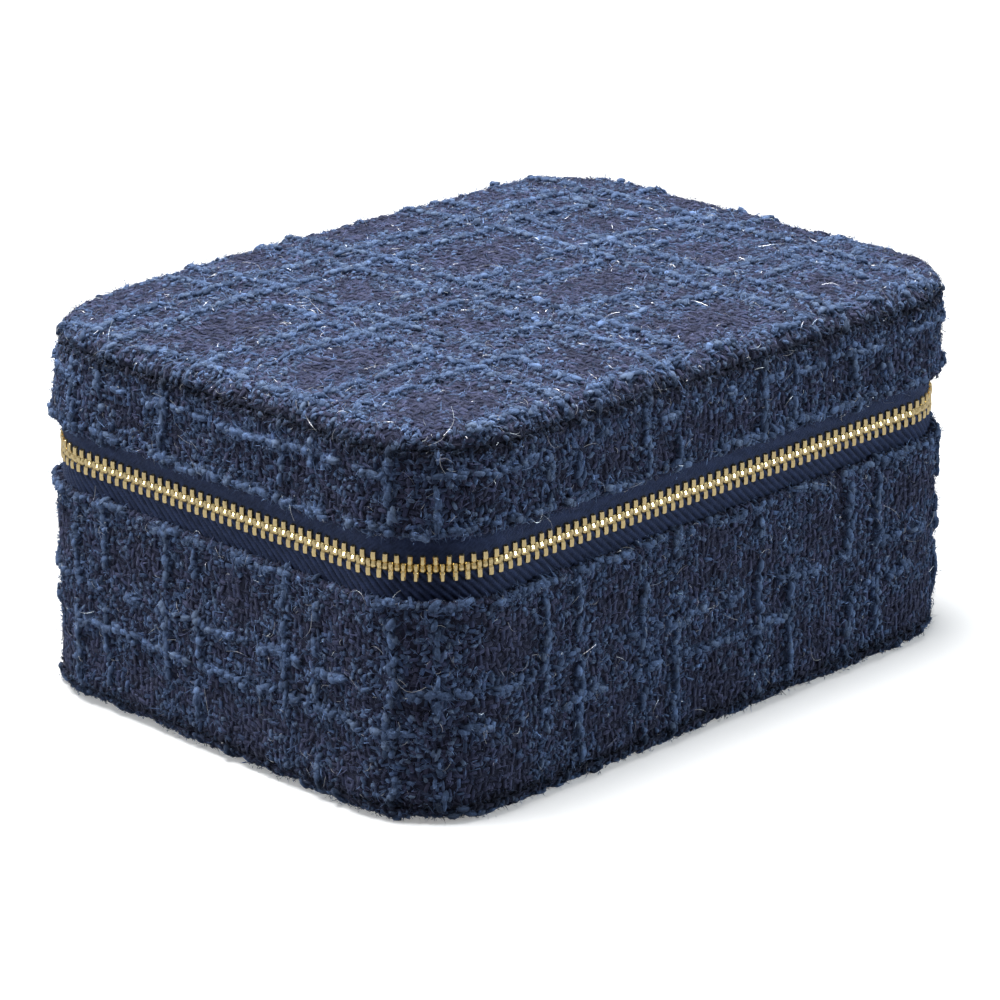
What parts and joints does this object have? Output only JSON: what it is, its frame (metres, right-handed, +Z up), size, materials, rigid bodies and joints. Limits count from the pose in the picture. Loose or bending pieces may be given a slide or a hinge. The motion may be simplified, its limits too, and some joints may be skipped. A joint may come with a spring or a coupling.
{
  "type": "jewellery case",
  "caption": "Cloth-covered zip-round jewellery case: a stiff box with a hinged lid, a metal zip with slider and pull tab, ring rolls, divided compartments and a lid mirror",
  "frame": {"origin": "centre of the flat underside of the bottom panel, where the case rests", "axes": "+X along the length to the side where the zip slider is parked, -Y to the front, +Z up"},
  "size_m": [0.1526, 0.112, 0.074],
  "materials": {
    "cover_cloth": "woven",
    "tape_cloth": "ribbed",
    "spine_cloth": "ribbed",
    "suede": "napped",
    "board": "plain",
    "foam": "open foam",
    "zip_metal": "polished",
    "mirror_glass": "polished"
  },
  "bodies": {
    "base": {"base_bottom_cover": "cover_cloth", "base_floor_board": "board", "base_wall_board": "board", "base_side_cover": "cover_cloth", "base_wall_lining": "suede", "base_floor_lining": "suede", "ring_tray": "suede", "ring_roll_1": "suede", "ring_roll_2": "suede", "ring_roll_3": "suede", "ring_roll_4": "suede", "ring_roll_5": "suede", "ring_roll_6": "suede", "divider_long": "suede", "divider_cross": "suede", "divider_short": "suede", "zip_tape_lower": "tape_cloth", "zip_teeth_lower": "zip_metal", "zip_stops_lower": "zip_metal", "hinge_spine": "spine_cloth"},
    "lid": {"lid_side_cover": "cover_cloth", "lid_wall_board": "board", "lid_top_board": "board", "lid_foam": "foam", "lid_top_cover": "cover_cloth", "lid_wall_lining": "suede", "lid_top_lining": "suede", "mirror_frame": "suede", "mirror_glass": "mirror_glass", "zip_tape_upper": "tape_cloth", "zip_teeth_upper": "zip_metal", "zip_stops_upper": "zip_metal"},
    "zip_slider": {"slider_body": "zip_metal", "slider_bridge": "zip_metal"},
    "puller": {"pull_tab": "zip_metal"}
  },
  "joints": [
    {"name": "lid_hinge", "type": "hinge", "parent": "base", "child": "lid", "pos_m": [0, 0.0538, 0.0473], "axis": [-1, 0, 0], "range_deg": [0, 110], "deforming": ["hinge_spine"]},
    {"name": "zip_slide", "type": "slide", "parent": "base", "child": "zip_slider", "axis": [0, -1, 0], "range_m": [0, 0.06], "deforming": ["zip_teeth_lower", "zip_teeth_upper"]},
    {"name": "puller_turn", "type": "hinge", "parent": "zip_slider", "child": "puller", "pos_m": [0.07575, 0.0293, 0.0473], "axis": [0, 0, 1], "range_deg": [0, 180]}
  ]
}
